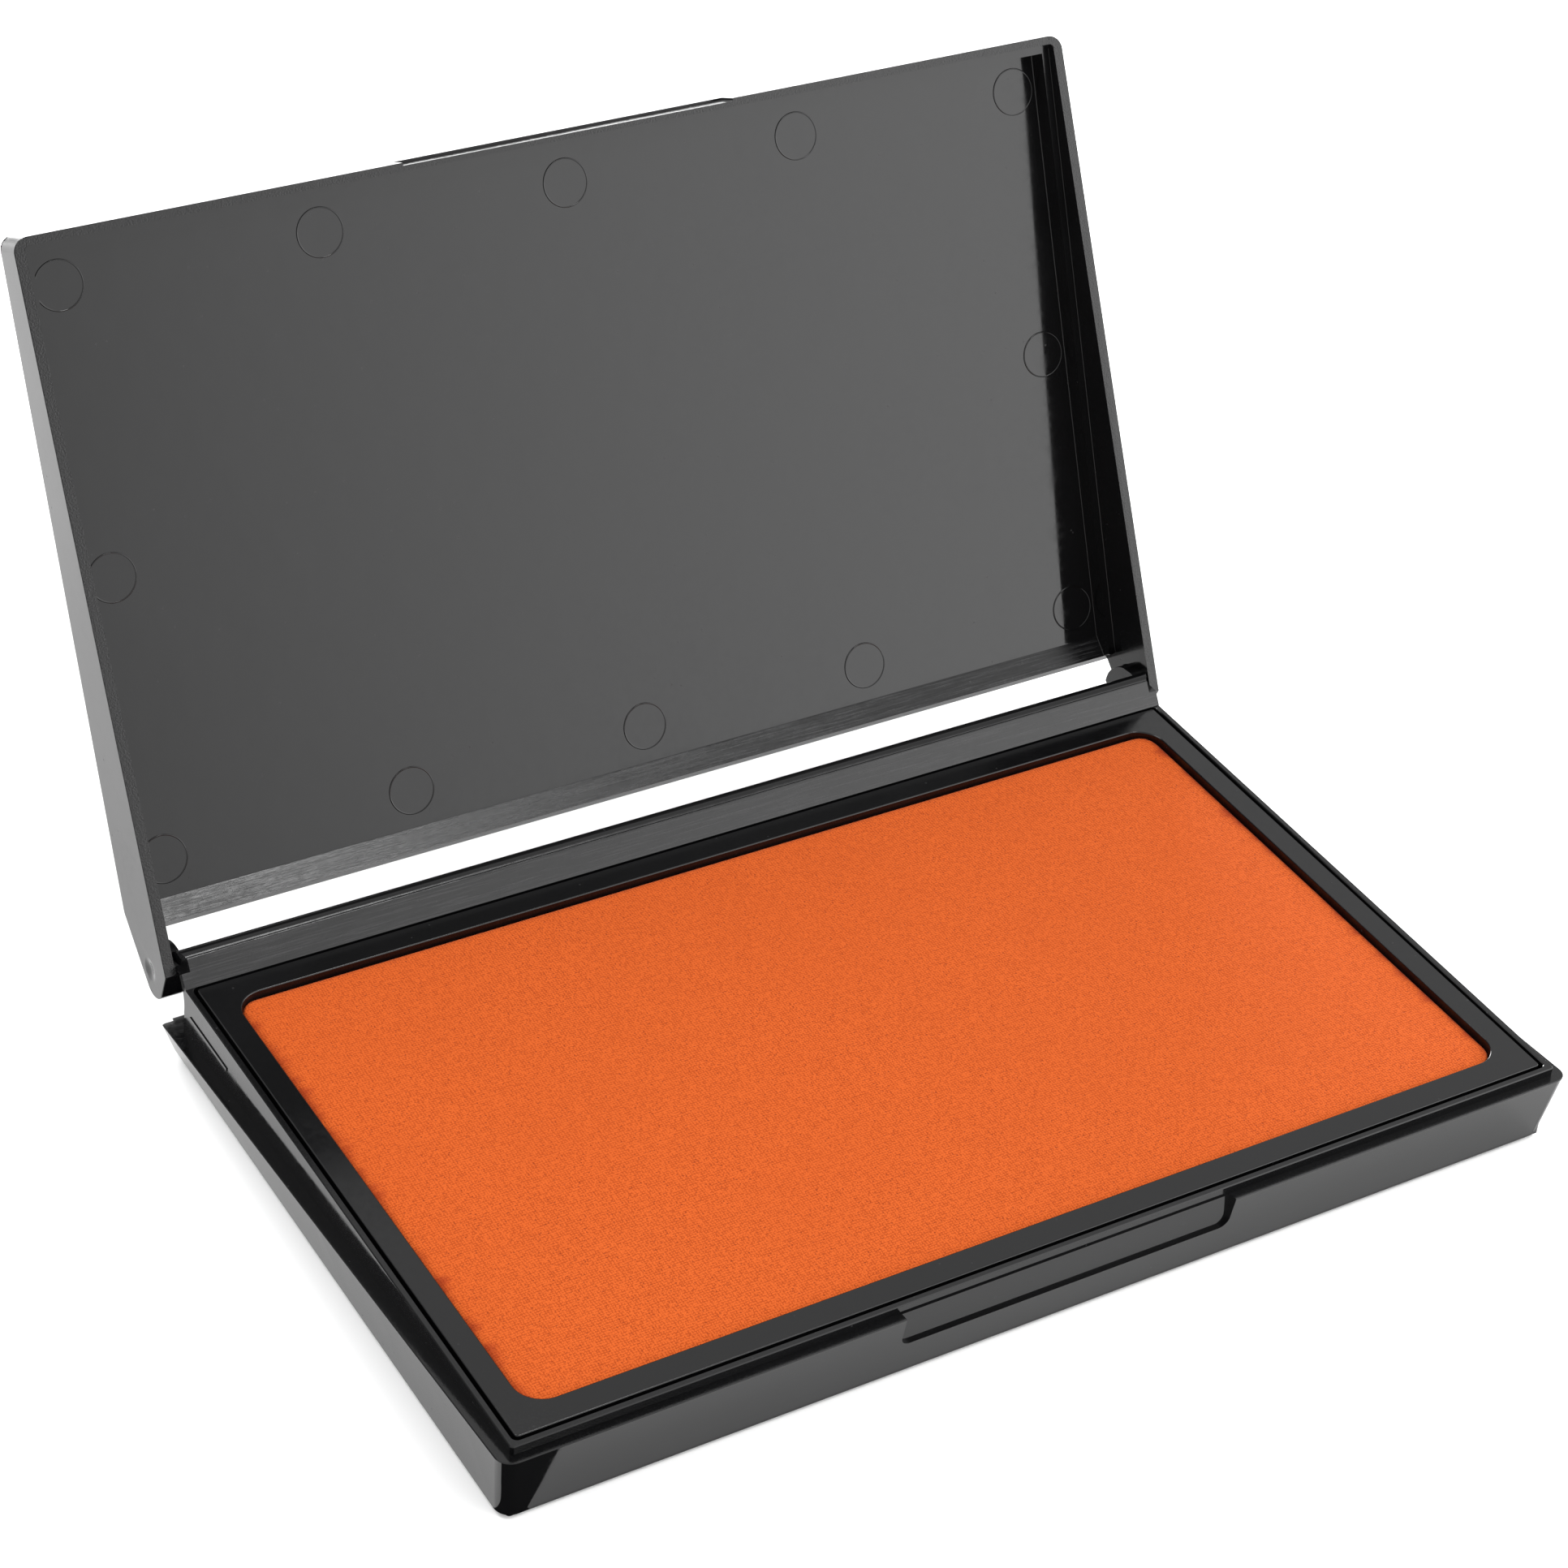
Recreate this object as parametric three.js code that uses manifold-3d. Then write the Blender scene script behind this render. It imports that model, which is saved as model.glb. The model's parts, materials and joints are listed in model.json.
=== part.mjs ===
// A desk ink pad: a wedge-shaped hinged plastic case holding a framed, cloth-covered pad 160 x 90 mm.
// Millimetres, +X right, -Y front (the finger recess), +Y rear (the hinge), +Z up.
// The origin is the centre of the flat underside. The lid is drawn shut, then turned open on its pivots.
import * as THREE from "three";
import { mergeVertices } from "three/addons/utils/BufferGeometryUtils.js";
import Module from "manifold-3d";

const wasm = await Module();
wasm.setup();

// ---- Driving dimensions ----

const SIDES = [-1, 1];
const FAR = 100; // past the case on every side
const GAP = 0.35; // running clearance between neighbouring mouldings
const SIDE_GAP = 0.2; // the closer clearance between the base's rim and the lid around it
const INSERT_GAP = 0.3; // clearance between layers that rest on each other

// Pad window in the frame, and the plane of the frame's top.
const WINDOW = { halfWidth: 80, front: -45.9, rear: 44.1, radius: 4.2 };
const FRAME_TOP = 13.4;

// Base: a skirt with draft, closed at the top by a ledge that slopes down to the rear.
const SKIRT_CORNERS = { radius: 2.3, rearRadius: 0.4, sideSteps: 12 };
const SKIRT_FOOT = { halfWidth: 84.4, front: -49.8, rear: 50, ...SKIRT_CORNERS };
const SKIRT_LOW = { halfWidth: 86.0, front: -51.4, rear: 51.4, ...SKIRT_CORNERS };
const SKIRT_TOP = { halfWidth: 87.18, front: -53.06, rear: 52.9, ...SKIRT_CORNERS };
const FOOT_BEVEL = 0.8;
const EDGE_BEVEL = 0.14; // softens the ledge's and the rim's edges
const LEDGE_FRONT_Z = 12.15;
const LEDGE_REAR_Z = 4.6;
const FLOOR_THICKNESS = 2;

// The thin rim that stands up inside the lid.
const RIM = { halfWidth: 85.24, front: -51.5, rear: 49.2, radius: 0.5 };
const RIM_THICKNESS = 0.95;
const CAVITY_REAR = 48.5;

// A low rib on each side of the rim, which the lid snaps over.
const SNAP_RIB = { length: 12.5, size: 0.5, y: 40.6, z: 9.5 };

// The wall behind the pad, which ends inside the ears, and the rail along its top.
const WALL_HALF_LENGTH = 83.3;
const WALL_BACK = 53.4;
const RAIL_NOTCH_X = 83.9;
const RAIL_NOTCH_FLOOR = 15.35;

// The hinge axis, parallel to X, and the pivots: a pin on each ear turns in a lug on the base.
const HINGE_Y = 55.2;
const HINGE_Z = 10.1;
const OPEN_ANGLE = 113.4;
const PIN_RADIUS = 1.25;
const PIN_INNER_X = 80.3;
const LUG_RADIUS = 3.2;
const LUG_INNER_X = 79.6;
const EAR_BOSS_RADIUS = 5.9;

// A key on each pin turns in a pocket in the lug, and its leading side is the stop at full opening.
const KEY = { radius: 2.05, innerX: 81.8, shutAngle: 60, halfAngle: 20 };
const KEY_POCKET = { radius: 2.35, innerX: 81.5, stopPlay: 4, spare: 15 };

// Lid, drawn shut.
const LID_TOP = 18.9;
const LID_CEILING = 17.06;
const LID_STEP_Z = 13.9;
const LID_RIM = { halfWidth: 87.18, front: -53.06, rear: 60, radius: 2.3 };
const LID_SHOULDER = { halfWidth: 86.97, front: -52.86, rear: 60, radius: 2.2 };
const LID_EDGE_RADIUS = 0.8;
const LID_CAVITY = { halfWidth: 84.2, front: -50.3 };
const LID_RECESS = {
  halfWidth: RIM.halfWidth + SIDE_GAP,
  front: RIM.front - SIDE_GAP,
  rear: 60,
  radius: 0.8,
};
const EAR_BOSS_X = WALL_HALF_LENGTH + GAP;
const DIMPLE = { radius: 2.4, depth: 0.35, y: 53.1, z: 11.3 };

// Finger recess in the front of the base, and the shallower one above it in the lid.
const FINGER_HALF_WIDTH = 27;
const FINGER_FLOOR_Z = 6.6;
const FINGER_FACE_Y = -51.75;
const LID_NOTCH_FACE_Y = -52.5;
const LID_NOTCH_TOP = 16;

// Pad stack, from the bottom up.
const BOARD = { bottom: 2.4, top: 3.6 };
const RESERVOIR = { bottom: 3.9, top: 6.6 };
const FELT = { bottom: 6.9, top: 10.9 };
const LIP_UNDERSIDE = 11.2;
const CLOTH_EDGE = 11.6;
const CLOTH_CROWN = 12.6;

// ---- Materials ----

function plastic(color, roughness) {
  return new THREE.MeshStandardMaterial({ color, roughness, metalness: 0 });
}

const BLACK_CASE = plastic(0x15161a, 0.22);
const BLACK_FRAME = plastic(0x18191b, 0.38);
const ORANGE_CLOTH = plastic(0xe8602a, 0.85);
const ORANGE_FELT = plastic(0xd8571f, 0.95);
const FOAM = plastic(0xd9793f, 0.95);
const GREY_BOARD = plastic(0x8e8a80, 0.8);

// ---- Geometry helpers ----

function solid(geometry) {
  const bare = geometry.clone();
  bare.deleteAttribute("normal");
  bare.deleteAttribute("uv");
  const merged = mergeVertices(bare, 1e-4);
  return new wasm.Manifold(
    new wasm.Mesh({
      numProp: 3,
      vertProperties: new Float32Array(merged.attributes.position.array),
      triVerts: new Uint32Array(merged.index.array),
    }),
  );
}

function part(name, body, material) {
  const mesh = body.getMesh();
  const geometry = new THREE.BufferGeometry();
  geometry.setAttribute("position", new THREE.BufferAttribute(mesh.vertProperties, 3));
  geometry.setIndex(new THREE.BufferAttribute(mesh.triVerts, 1));
  geometry.computeVertexNormals();
  const made = new THREE.Mesh(geometry, material);
  made.name = name;
  return made;
}

function joined(bodies) {
  return bodies.reduce((whole, body) => whole.add(body));
}

// A side profile in (Y, Z), run along X from x0 to x1.
function profileAlongX(shape, x0, x1, curveSegments = 8) {
  const geometry = new THREE.ExtrudeGeometry(shape, { depth: x1 - x0, bevelEnabled: false, curveSegments });
  const turn = new THREE.Matrix4().makeBasis(
    new THREE.Vector3(0, 1, 0),
    new THREE.Vector3(0, 0, 1),
    new THREE.Vector3(1, 0, 0),
  );
  return solid(geometry.applyMatrix4(turn).translate(x0, 0, 0));
}

function polygon(points) {
  return new THREE.Shape(points.map(([y, z]) => new THREE.Vector2(y, z)));
}

// The same body on the right and, mirrored by running it from -x1 to -x0, on the left.
function profileOnBothSides(shape, x0, x1, curveSegments = 8) {
  return profileAlongX(shape, x0, x1, curveSegments).add(profileAlongX(shape, -x1, -x0, curveSegments));
}

// A rounded rectangle in plan. The rear corners have their own radius if rearRadius is given, and the
// long sides are divided where sideSteps asks for it, so that a twisted side stays smooth.
function planOutline({ halfWidth, front, rear, radius, rearRadius = radius, sideSteps = 1 }) {
  const shape = new THREE.Shape();
  const low = front + radius;
  const high = rear - rearRadius;
  const stepY = (high - low) / sideSteps;
  shape.absarc(halfWidth - radius, low, radius, -Math.PI / 2, 0);
  for (let i = 1; i < sideSteps; i += 1) {
    shape.lineTo(halfWidth, low + i * stepY);
  }
  shape.absarc(halfWidth - rearRadius, high, rearRadius, 0, Math.PI / 2);
  shape.absarc(rearRadius - halfWidth, high, rearRadius, Math.PI / 2, Math.PI);
  for (let i = 1; i < sideSteps; i += 1) {
    shape.lineTo(-halfWidth, high - i * stepY);
  }
  shape.absarc(radius - halfWidth, low, radius, Math.PI, Math.PI * 1.5);
  return shape;
}

function heightAt(level, y) {
  return typeof level === "function" ? level(y) : level;
}

// A rounded rectangle in plan that narrows or widens evenly between two heights.
// Each height is a number or, for a sloping end, a function of y.
function drafted(lower, upper, z0, z1) {
  const geometry = new THREE.ExtrudeGeometry(planOutline(upper), {
    depth: 1,
    bevelEnabled: false,
    curveSegments: 6,
  });
  const position = geometry.attributes.position;
  const lengthRatio = (lower.rear - lower.front) / (upper.rear - upper.front);
  for (let i = 0; i < position.count; i += 1) {
    const y = position.getY(i);
    if (position.getZ(i) > 0.5) {
      position.setZ(i, heightAt(z1, y));
    } else {
      const lowerY = lower.front + (y - upper.front) * lengthRatio;
      position.setXYZ(i, (position.getX(i) * lower.halfWidth) / upper.halfWidth, lowerY, heightAt(z0, lowerY));
    }
  }
  return solid(geometry);
}

function plate(outline, z0, z1) {
  return drafted(outline, outline, z0, z1);
}

function grown(outline, amount) {
  return {
    ...outline,
    halfWidth: outline.halfWidth + amount,
    front: outline.front - amount,
    rear: outline.rear + amount,
    radius: Math.max(outline.radius + amount, 0.2),
  };
}

// Everything under the outline's top whose edge is bevelled: the sides fall away outwards at 45 degrees.
function underBevel(outline, top) {
  const depth = 20;
  const foot = (y) => heightAt(top, y) - depth;
  return drafted(grown(outline, depth - EDGE_BEVEL), grown(outline, -EDGE_BEVEL), foot, top);
}

// A disc or, between two angles in degrees, a sector about the hinge, on both sides from x0 to x1.
// 0 degrees is to the rear and 90 straight up.
function aboutHinge(radius, x0, x1, from = 0, to = 360) {
  const shape = new THREE.Shape();
  if (to - from < 360) {
    shape.moveTo(HINGE_Y, HINGE_Z);
  }
  shape.absarc(HINGE_Y, HINGE_Z, radius, THREE.MathUtils.degToRad(from), THREE.MathUtils.degToRad(to));
  return profileOnBothSides(shape, x0, x1, 20);
}

function ledgeHeight(y) {
  const run = SKIRT_TOP.rear - SKIRT_TOP.front;
  return LEDGE_FRONT_Z - ((LEDGE_FRONT_Z - LEDGE_REAR_Z) * (y - SKIRT_TOP.front)) / run;
}

// Everything above the ledge's sloping plane.
function aboveLedge() {
  return profileAlongX(
    polygon([
      [-FAR, ledgeHeight(-FAR)],
      [FAR, ledgeHeight(FAR)],
      [FAR, FAR],
      [-FAR, FAR],
    ]),
    -FAR,
    FAR,
  );
}

// ---- Base ----

// The wall behind the pad and its rail: the front leans back, and the top has a fine step and a round rear.
function rail() {
  const shape = polygon([
    [CAVITY_REAR, FLOOR_THICKNESS / 2],
    [SKIRT_LOW.rear, FLOOR_THICKNESS / 2],
    [WALL_BACK, LEDGE_REAR_Z],
    [WALL_BACK, 16.4],
    [53.2, 16.95],
    [52.75, 17.3],
    [52.1, 17.4],
    [51.6, 17.3],
    [51.25, 17.05],
    [51.15, 16.92],
    [50.95, 16.95],
    [50.76, 16.78],
    [CAVITY_REAR, FRAME_TOP],
  ]);
  return profileAlongX(shape, -RIM.halfWidth, RIM.halfWidth);
}

// The rail's ends are notched from the front, in plan at a slant, to clear the lid's inner walls.
function railNotches() {
  const outside = RIM.halfWidth + 5;
  const outline = [
    [RAIL_NOTCH_X, 0],
    [outside, 0],
    [outside, WALL_BACK - 0.1],
    [RIM.halfWidth, WALL_BACK - 0.1],
    [RAIL_NOTCH_X, 51],
  ];
  const notches = SIDES.map((side) => {
    const shape = polygon(outline.map(([x, y]) => [side * x, y]));
    const geometry = new THREE.ExtrudeGeometry(shape, { depth: 10, bevelEnabled: false });
    return solid(geometry.translate(0, 0, RAIL_NOTCH_FLOOR));
  });
  return joined(notches);
}

// The room that the ears' bosses turn in, and the open corner below it.
function earRoom() {
  const corner = polygon([
    [RIM.rear - 0.1, 0],
    [70, 0],
    [70, HINGE_Z],
    [RIM.rear - 0.1, HINGE_Z],
  ]);
  const room = aboutHinge(EAR_BOSS_RADIUS + INSERT_GAP, WALL_HALF_LENGTH, FAR);
  return room.add(profileOnBothSides(corner, WALL_HALF_LENGTH, FAR)).intersect(aboveLedge());
}

function hingeLugs() {
  const shape = new THREE.Shape();
  const root = WALL_BACK - 1;
  shape.moveTo(root, HINGE_Z - 4.6);
  shape.absarc(HINGE_Y, HINGE_Z, LUG_RADIUS, -Math.PI / 4, Math.PI / 2);
  shape.lineTo(root, HINGE_Z + LUG_RADIUS);
  const lugs = profileOnBothSides(shape, LUG_INNER_X, WALL_HALF_LENGTH, 12);
  const bores = aboutHinge(PIN_RADIUS + GAP, LUG_INNER_X - 1, FAR);
  const { radius, innerX, stopPlay, spare } = KEY_POCKET;
  const from = KEY.shutAngle - KEY.halfAngle - OPEN_ANGLE - stopPlay;
  const to = KEY.shutAngle + KEY.halfAngle + spare;
  return lugs.subtract(bores).subtract(aboutHinge(radius, innerX, FAR, from, to));
}

function fingerRecess() {
  const shape = new THREE.Shape();
  const corner = 1.6;
  shape.moveTo(-FINGER_HALF_WIDTH, 20);
  shape.lineTo(-FINGER_HALF_WIDTH, FINGER_FLOOR_Z + corner);
  shape.absarc(-FINGER_HALF_WIDTH + corner, FINGER_FLOOR_Z + corner, corner, Math.PI, Math.PI * 1.5);
  shape.absarc(FINGER_HALF_WIDTH - corner, FINGER_FLOOR_Z + corner, corner, -Math.PI / 2, 0);
  shape.lineTo(FINGER_HALF_WIDTH, 20);
  const geometry = new THREE.ExtrudeGeometry(shape, { depth: 5, bevelEnabled: false, curveSegments: 5 });
  return solid(geometry.rotateX(Math.PI / 2).translate(0, FINGER_FACE_Y, 0));
}

// Small snap ribs low on the rim's sides, near the hinge.
function snapRibs() {
  const ribs = SIDES.map((side) => {
    const box = new THREE.BoxGeometry(SNAP_RIB.size, SNAP_RIB.length, SNAP_RIB.size);
    return solid(box.translate(side * (RIM.halfWidth - 0.1), SNAP_RIB.y, SNAP_RIB.z));
  });
  return joined(ribs);
}

function baseTray() {
  const cavity = {
    halfWidth: RIM.halfWidth - RIM_THICKNESS,
    front: RIM.front + RIM_THICKNESS,
    rear: CAVITY_REAR,
    radius: 0.8,
  };
  const mouth = { ...grown(cavity, EDGE_BEVEL), rear: CAVITY_REAR };
  const throat = { ...grown(cavity, -RIM_THICKNESS), rear: CAVITY_REAR - RIM_THICKNESS };
  const skirt = drafted(SKIRT_FOOT, SKIRT_LOW, 0, FOOT_BEVEL)
    .add(drafted(SKIRT_LOW, SKIRT_TOP, FOOT_BEVEL, ledgeHeight))
    .intersect(underBevel(SKIRT_TOP, ledgeHeight));
  const rim = plate(RIM, FLOOR_THICKNESS / 2, FRAME_TOP).intersect(underBevel(RIM, FRAME_TOP));
  const upper = joined([rim, rail(), snapRibs()]).subtract(railNotches()).subtract(earRoom());
  return joined([skirt, upper, hingeLugs()])
    .subtract(plate(cavity, FLOOR_THICKNESS, FAR))
    .subtract(drafted(throat, mouth, FRAME_TOP - RIM_THICKNESS - EDGE_BEVEL, FRAME_TOP))
    .subtract(fingerRecess());
}

// ---- Pad insert ----

function padFrame() {
  const outer = { halfWidth: 83.75, front: -50, rear: 48.1, radius: 0.5 };
  const hollow = grown(WINDOW, 2);
  return plate(outer, FLOOR_THICKNESS + INSERT_GAP, FRAME_TOP)
    .subtract(plate(WINDOW, 0, FAR))
    .subtract(plate(hollow, 0, LIP_UNDERSIDE));
}

function padCloth() {
  const outline = grown(WINDOW, -0.3);
  const width = 2 * outline.halfWidth + 2;
  const length = outline.rear - outline.front + 2;
  const middle = (outline.rear + outline.front) / 2;
  const columns = 24;
  const rows = 14;
  const geometry = new THREE.BoxGeometry(width, length, 1, columns, rows, 1);
  const position = geometry.attributes.position;
  for (let i = 0; i < position.count; i += 1) {
    const u = (2 * position.getX(i)) / width;
    const v = (2 * position.getY(i)) / length;
    const crown = (1 - u ** 8) * (1 - v ** 6);
    const top = CLOTH_EDGE + (CLOTH_CROWN - CLOTH_EDGE) * crown;
    position.setZ(i, position.getZ(i) > 0 ? top : LIP_UNDERSIDE);
  }
  return solid(geometry.translate(0, middle, 0)).intersect(plate(outline, 0, FAR));
}

function padLayer({ bottom, top }) {
  return plate(grown(WINDOW, 1.7), bottom, top);
}

// ---- Lid, drawn shut ----

// The side outline: flat top, a bend down at the rear, the round-ended ear and the sloping free edge.
function lidProfile() {
  const shape = new THREE.Shape();
  const lift = GAP;
  const earFoot = SKIRT_TOP.rear + 0.2;
  shape.moveTo(-FAR, ledgeHeight(-FAR) + lift);
  shape.lineTo(earFoot, ledgeHeight(earFoot) + lift);
  shape.lineTo(56.7, 8.3);
  shape.quadraticCurveTo(57.5, 9.3, 57.4, 10.8);
  shape.quadraticCurveTo(57.2, 12.6, 55.5, 13.5);
  shape.lineTo(46.2, 18.1);
  shape.quadraticCurveTo(44.9, LID_TOP, 43.6, LID_TOP);
  shape.lineTo(-FAR, LID_TOP);
  return shape;
}

// The hollow seen from the side, with the ceiling bent down at the rear like the top.
function hollowProfile() {
  return polygon([
    [LID_CAVITY.front, -FAR],
    [49.5, -FAR],
    [49.5, 13.2],
    [48, 14],
    [48.3, 15.47],
    [45.1, LID_CEILING],
    [LID_CAVITY.front, LID_CEILING],
  ]);
}

// Open space behind the bent panel's end face, between the ears.
function betweenEars() {
  return polygon([
    [47.9, -FAR],
    [70, -FAR],
    [70, 30],
    [59.9, 30],
    [49.2, 16.6],
    [48.3, 15.47],
    [47.9, 14],
  ]);
}

// Inside each ear, a round boss cut to the ear's outline, a pivot pin and the pin's key.
function earPivots(profile) {
  const boss = aboutHinge(EAR_BOSS_RADIUS, EAR_BOSS_X, LID_RECESS.halfWidth + 0.4);
  const pin = aboutHinge(PIN_RADIUS, PIN_INNER_X, EAR_BOSS_X + 0.5);
  const keyFrom = KEY.shutAngle - KEY.halfAngle;
  const keyTo = KEY.shutAngle + KEY.halfAngle;
  const key = aboutHinge(KEY.radius, KEY.innerX, EAR_BOSS_X + 0.5, keyFrom, keyTo);
  return boss.intersect(profileAlongX(profile, -FAR, FAR)).add(pin).add(key);
}

function lidNotch() {
  const box = new THREE.BoxGeometry(2 * FINGER_HALF_WIDTH + 1, 4, LID_NOTCH_TOP);
  return solid(box.translate(0, LID_NOTCH_FACE_Y - 2, LID_NOTCH_TOP / 2));
}

// The outside in plan, drawn in at the top edge as a quarter round.
function lidPlan() {
  const shoulderZ = LID_TOP - LID_EDGE_RADIUS;
  const steps = 4;
  const layers = [drafted(LID_RIM, LID_SHOULDER, 0, shoulderZ)];
  const level = (i) => {
    const angle = (i / steps) * (Math.PI / 2);
    return {
      outline: grown(LID_SHOULDER, LID_EDGE_RADIUS * (Math.cos(angle) - 1)),
      z: shoulderZ + LID_EDGE_RADIUS * Math.sin(angle),
    };
  };
  for (let i = 0; i < steps; i += 1) {
    const below = level(i);
    const above = level(i + 1);
    layers.push(drafted(below.outline, above.outline, below.z, above.z));
  }
  return joined(layers);
}

// A shallow round hollow in each ear's outside, opposite the pivot.
function earDimples() {
  const outline = [];
  const rings = 6;
  for (let i = 0; i <= rings; i += 1) {
    const depth = DIMPLE.depth * Math.cos(((i / rings) * Math.PI) / 2) ** 2;
    outline.push(new THREE.Vector2((DIMPLE.radius * i) / rings, -depth));
  }
  outline.push(new THREE.Vector2(DIMPLE.radius, 2), new THREE.Vector2(0, 2));
  const dimples = SIDES.map((side) => {
    const hollow = new THREE.LatheGeometry(outline, 24).rotateZ((-side * Math.PI) / 2);
    return solid(hollow.translate(side * (LID_RIM.halfWidth - 0.1), DIMPLE.y, DIMPLE.z));
  });
  return joined(dimples);
}

function lidShell() {
  const profile = lidProfile();
  const outside = profileAlongX(profile, -FAR, FAR).intersect(lidPlan());
  return outside
    .subtract(profileAlongX(hollowProfile(), -LID_CAVITY.halfWidth, LID_CAVITY.halfWidth))
    .subtract(profileAlongX(betweenEars(), -LID_RECESS.halfWidth, LID_RECESS.halfWidth))
    .subtract(plate(LID_RECESS, -FAR, LID_STEP_Z))
    .add(earPivots(profile))
    .subtract(earDimples())
    .subtract(lidNotch());
}

// ---- Assembly ----

const inkPad = new THREE.Group();
inkPad.add(part("base_tray", baseTray(), BLACK_CASE));
inkPad.add(part("pad_frame", padFrame(), BLACK_FRAME));
inkPad.add(part("pad_cloth", padCloth(), ORANGE_CLOTH));
inkPad.add(part("felt_pad", padLayer(FELT), ORANGE_FELT));
inkPad.add(part("ink_reservoir", padLayer(RESERVOIR), FOAM));
inkPad.add(part("backing_board", padLayer(BOARD), GREY_BOARD));

// The lid turns about the hinge axis: its meshes are moved so that the axis is the group's own X axis.
const lid = part("lid", lidShell(), BLACK_CASE);
lid.position.set(0, -HINGE_Y, -HINGE_Z);
const hinge = new THREE.Group();
hinge.position.set(0, HINGE_Y, HINGE_Z);
hinge.rotation.x = -THREE.MathUtils.degToRad(OPEN_ANGLE);
hinge.add(lid);
inkPad.add(hinge);

export default inkPad;
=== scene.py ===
"""A desk ink pad, shown open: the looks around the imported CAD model, in its own frame.

Blender works in metres here, with +X right, -Y front and +Z up. The object's sizes below are in
millimetres, and MM turns them into metres. Lights and the camera are placed in metres.
"""
import json
import math

import bmesh
import bpy
from mathutils import Matrix, Vector


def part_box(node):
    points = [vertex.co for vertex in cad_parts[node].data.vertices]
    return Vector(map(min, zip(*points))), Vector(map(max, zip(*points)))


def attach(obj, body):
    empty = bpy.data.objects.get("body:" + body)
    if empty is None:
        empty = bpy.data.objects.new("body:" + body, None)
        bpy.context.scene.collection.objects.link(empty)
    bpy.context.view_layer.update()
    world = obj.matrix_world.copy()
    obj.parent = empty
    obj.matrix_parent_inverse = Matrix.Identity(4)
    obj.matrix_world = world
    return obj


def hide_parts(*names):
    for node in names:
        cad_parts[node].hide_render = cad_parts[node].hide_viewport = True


MM = 0.001

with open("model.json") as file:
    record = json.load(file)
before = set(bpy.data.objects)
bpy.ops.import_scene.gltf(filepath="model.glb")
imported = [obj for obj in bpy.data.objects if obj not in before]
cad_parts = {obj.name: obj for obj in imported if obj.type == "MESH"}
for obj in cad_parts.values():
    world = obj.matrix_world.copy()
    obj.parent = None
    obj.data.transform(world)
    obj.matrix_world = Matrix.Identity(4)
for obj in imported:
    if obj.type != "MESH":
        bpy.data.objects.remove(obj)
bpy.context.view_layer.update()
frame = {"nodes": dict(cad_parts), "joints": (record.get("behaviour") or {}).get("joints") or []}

# ---- The lid's hinge, and how far the lid stands open from shut ----

HINGE = next(joint for joint in frame["joints"] if joint["name"] == "lid_hinge")
HINGE_POINT = Vector(HINGE["pos_m"])
OPEN_ANGLE = math.radians(HINGE["range_deg"][1])
OPENED = (
    Matrix.Translation(HINGE_POINT)
    @ Matrix.Rotation(-OPEN_ANGLE, 4, "X")
    @ Matrix.Translation(-HINGE_POINT)
)

# ---- Outlines and levels, most of them from the CAD nodes' boxes ----


def box_mm(node):
    """A CAD node's lowest and highest corners at rest, in millimetres."""
    return [Vector(corner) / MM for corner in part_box(node)]


CLOTH_LOW, CLOTH_HIGH = box_mm("pad_cloth")
FELT_LOW = box_mm("felt_pad")[0]
FOAM_LOW, FOAM_HIGH = box_mm("ink_reservoir")
FRAME_TOP = box_mm("pad_frame")[1].z

# The pad window in the frame, which the CAD's plain cloth fills with a small gap all round.
WINDOW_GAP = 0.3
WINDOW = {
    "half": CLOTH_HIGH.x + WINDOW_GAP,
    "front": CLOTH_LOW.y - WINDOW_GAP,
    "rear": CLOTH_HIGH.y + WINDOW_GAP,
    "radius": 4.2,
}

# The cloth rises from the frame's lip round a tight shoulder, then swells a little towards its middle.
CLOTH_EDGE = CLOTH_LOW.z + 0.3
CLOTH_SHOULDER = CLOTH_HIGH.z - 0.22
CLOTH_CROWN = CLOTH_HIGH.z - 0.05
CLOTH_ROUNDING = 1.3
CLOTH_SWELL = 18

# The base's cavity ends here at the rear, below the rail.
CAVITY_REAR = 48.5

# Places in the shut lid: the step above its free edges, the bent rear panel, and the ceiling.
LID_STEP = 13.9
BENT_PANEL_FRONT = 45.1
BENT_PANEL_EDGE = 15.4
LID_CEILING = 17.06


# ---- Material building ----


class Nodes:
    """A shader node tree, with one short call per node."""

    def __init__(self, tree):
        self.tree = tree

    def node(self, kind, *values, output=0, **settings):
        """An output of a new node, with its settings by name and its inputs in their order."""
        made = self.tree.nodes.new(kind)
        for name, value in settings.items():
            setattr(made, name, value)
        for socket, value in zip(made.inputs, values):
            self.feed(socket, value)
        return made.outputs[output]

    def feed(self, socket, value):
        """Links an output to a socket, or sets the socket's own value."""
        if isinstance(value, bpy.types.NodeSocket):
            self.tree.links.new(value, socket)
        else:
            socket.default_value = value

    def math(self, operation, *values):
        return self.node("ShaderNodeMath", *values, operation=operation)

    def multiply(self, first, second):
        return self.math("MULTIPLY", first, second)

    def multiply_add(self, first, second, added):
        """The product of the first two, plus the third."""
        return self.math("MULTIPLY_ADD", first, second, added)

    def ramp(self, value, low, high, start=0.0, end=1.0):
        """A value, as it goes from low to high, remapped smoothly to start..end."""
        made = self.tree.nodes.new("ShaderNodeMapRange")
        made.interpolation_type = "SMOOTHSTEP"
        names = ("Value", "From Min", "From Max", "To Min", "To Max")
        for name, number in zip(names, (value, low, high, start, end)):
            self.feed(made.inputs[name], number)
        return made.outputs["Result"]


class Sky(Nodes):
    """The world's node tree."""

    def toward(self, direction):
        """How far the view points along a direction, from -1 to 1."""
        place = self.node("ShaderNodeTexCoord")
        return self.node("ShaderNodeVectorMath", place, direction, output=1, operation="DOT_PRODUCT")


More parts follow.
